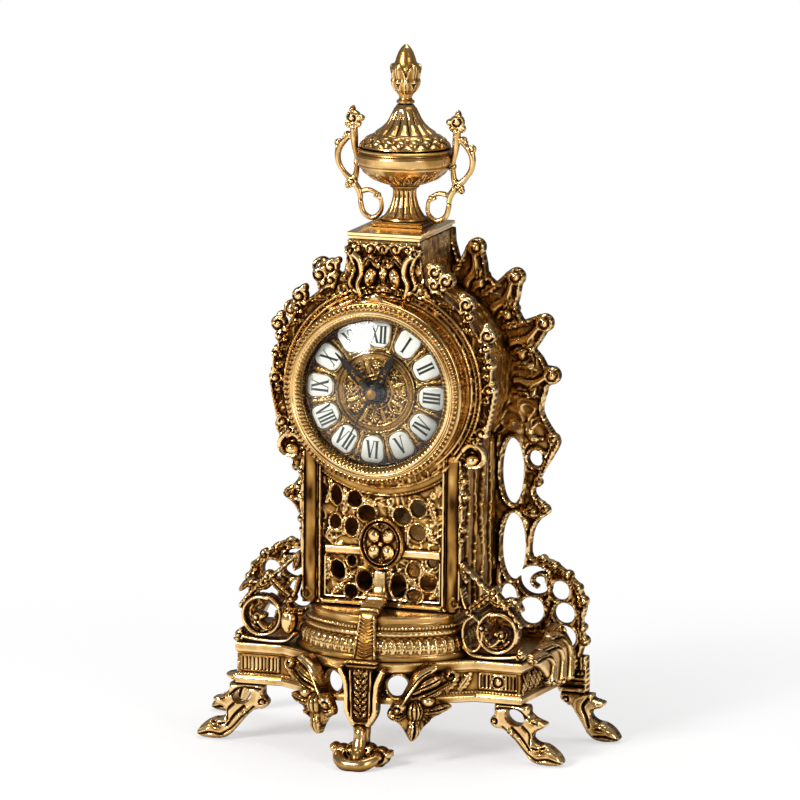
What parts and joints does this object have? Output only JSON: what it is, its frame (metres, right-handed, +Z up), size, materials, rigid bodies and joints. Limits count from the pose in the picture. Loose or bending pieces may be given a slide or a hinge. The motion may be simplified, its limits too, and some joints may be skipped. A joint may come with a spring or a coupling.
{
  "type": "desk clock",
  "caption": "Ornate cast brass desk clock: arched openwork case on scrolled feet, urn on top, round glazed dial with enamel cartouches and a battery movement.",
  "frame": {"origin": "on the floor, under the middle of the bounding box", "axes": "+Z up, dial faces -Y, +X to the viewer's right"},
  "size_m": [0.25, 0.1264, 0.4054],
  "materials": {
    "polished_brass": "cast, hand polished on the high places, brown patina in the hollows",
    "antique_brass": "cast, darker antique patina, lightly relieved",
    "enamel": "white glossy enamel on stamped metal",
    "black_lacquer": "black satin lacquer",
    "module_plastic": "moulded, fine texture",
    "steel": "turned, bright",
    "dial_glass": "clear, domed, polished",
    "cell_sleeve": "printed-free shrink sleeve"
  },
  "bodies": {
    "case": {"base_frame": "polished_brass", "plinth": "polished_brass", "centre_leg": "polished_brass", "clasp": "polished_brass", "front_plate": "polished_brass", "grille_panel": "polished_brass", "medallion": "polished_brass", "abacus": "polished_brass", "urn_foot": "polished_brass", "urn_bowl": "polished_brass", "urn_lid": "polished_brass", "finial": "polished_brass", "drum": "polished_brass", "bezel": "polished_brass", "dial_plate": "polished_brass", "front_leg_left": "polished_brass", "back_leg_left": "polished_brass", "scroll_bracket_left": "polished_brass", "handle_left": "polished_brass", "apron_drop_left": "polished_brass", "front_leg_right": "polished_brass", "back_leg_right": "polished_brass", "scroll_bracket_right": "polished_brass", "handle_right": "polished_brass", "apron_drop_right": "polished_brass", "arch_roof": "antique_brass", "back_plate": "antique_brass", "dial_rosette": "antique_brass", "side_wall_left": "antique_brass", "side_wall_right": "antique_brass", "cartouche_01": "enamel", "cartouche_02": "enamel", "cartouche_03": "enamel", "cartouche_04": "enamel", "cartouche_05": "enamel", "cartouche_06": "enamel", "cartouche_07": "enamel", "cartouche_08": "enamel", "cartouche_09": "enamel", "cartouche_10": "enamel", "cartouche_11": "enamel", "cartouche_12": "enamel", "tie_rod": "steel", "rod_nut": "steel", "case_screw_left_1": "steel", "case_screw_left_2": "steel", "case_screw_right_1": "steel", "case_screw_right_2": "steel", "movement_housing": "module_plastic", "movement_cover": "module_plastic", "fixing_nut": "black_lacquer", "crystal": "dial_glass", "battery": "cell_sleeve"},
    "hour_hand": {"hour_hand": "black_lacquer"},
    "minute_hand": {"minute_hand": "black_lacquer"},
    "second_hand": {"second_hand": "black_lacquer", "hand_cap": "polished_brass"},
    "set_knob": {"set_knob": "module_plastic"}
  },
  "joints": [
    {"name": "minute_turn", "type": "hinge", "parent": "case", "child": "minute_hand", "pos_m": [0, -0.02821, 0.2117], "axis": [0, 1, 0], "continuous": true},
    {"name": "hour_turn", "type": "hinge", "parent": "case", "child": "hour_hand", "pos_m": [0, -0.02601, 0.2117], "axis": [0, 1, 0], "continuous": true},
    {"name": "second_turn", "type": "hinge", "parent": "case", "child": "second_hand", "pos_m": [0, -0.03041, 0.2117], "axis": [0, 1, 0], "continuous": true},
    {"name": "knob_turn", "type": "hinge", "parent": "case", "child": "set_knob", "pos_m": [0, 0.0038, 0.2257], "axis": [0, 1, 0], "continuous": true}
  ],
  "couplings": [
    {"joint": "hour_turn", "follows": "minute_turn", "ratio": 0.083333},
    {"joint": "knob_turn", "follows": "minute_turn", "ratio": -1}
  ]
}
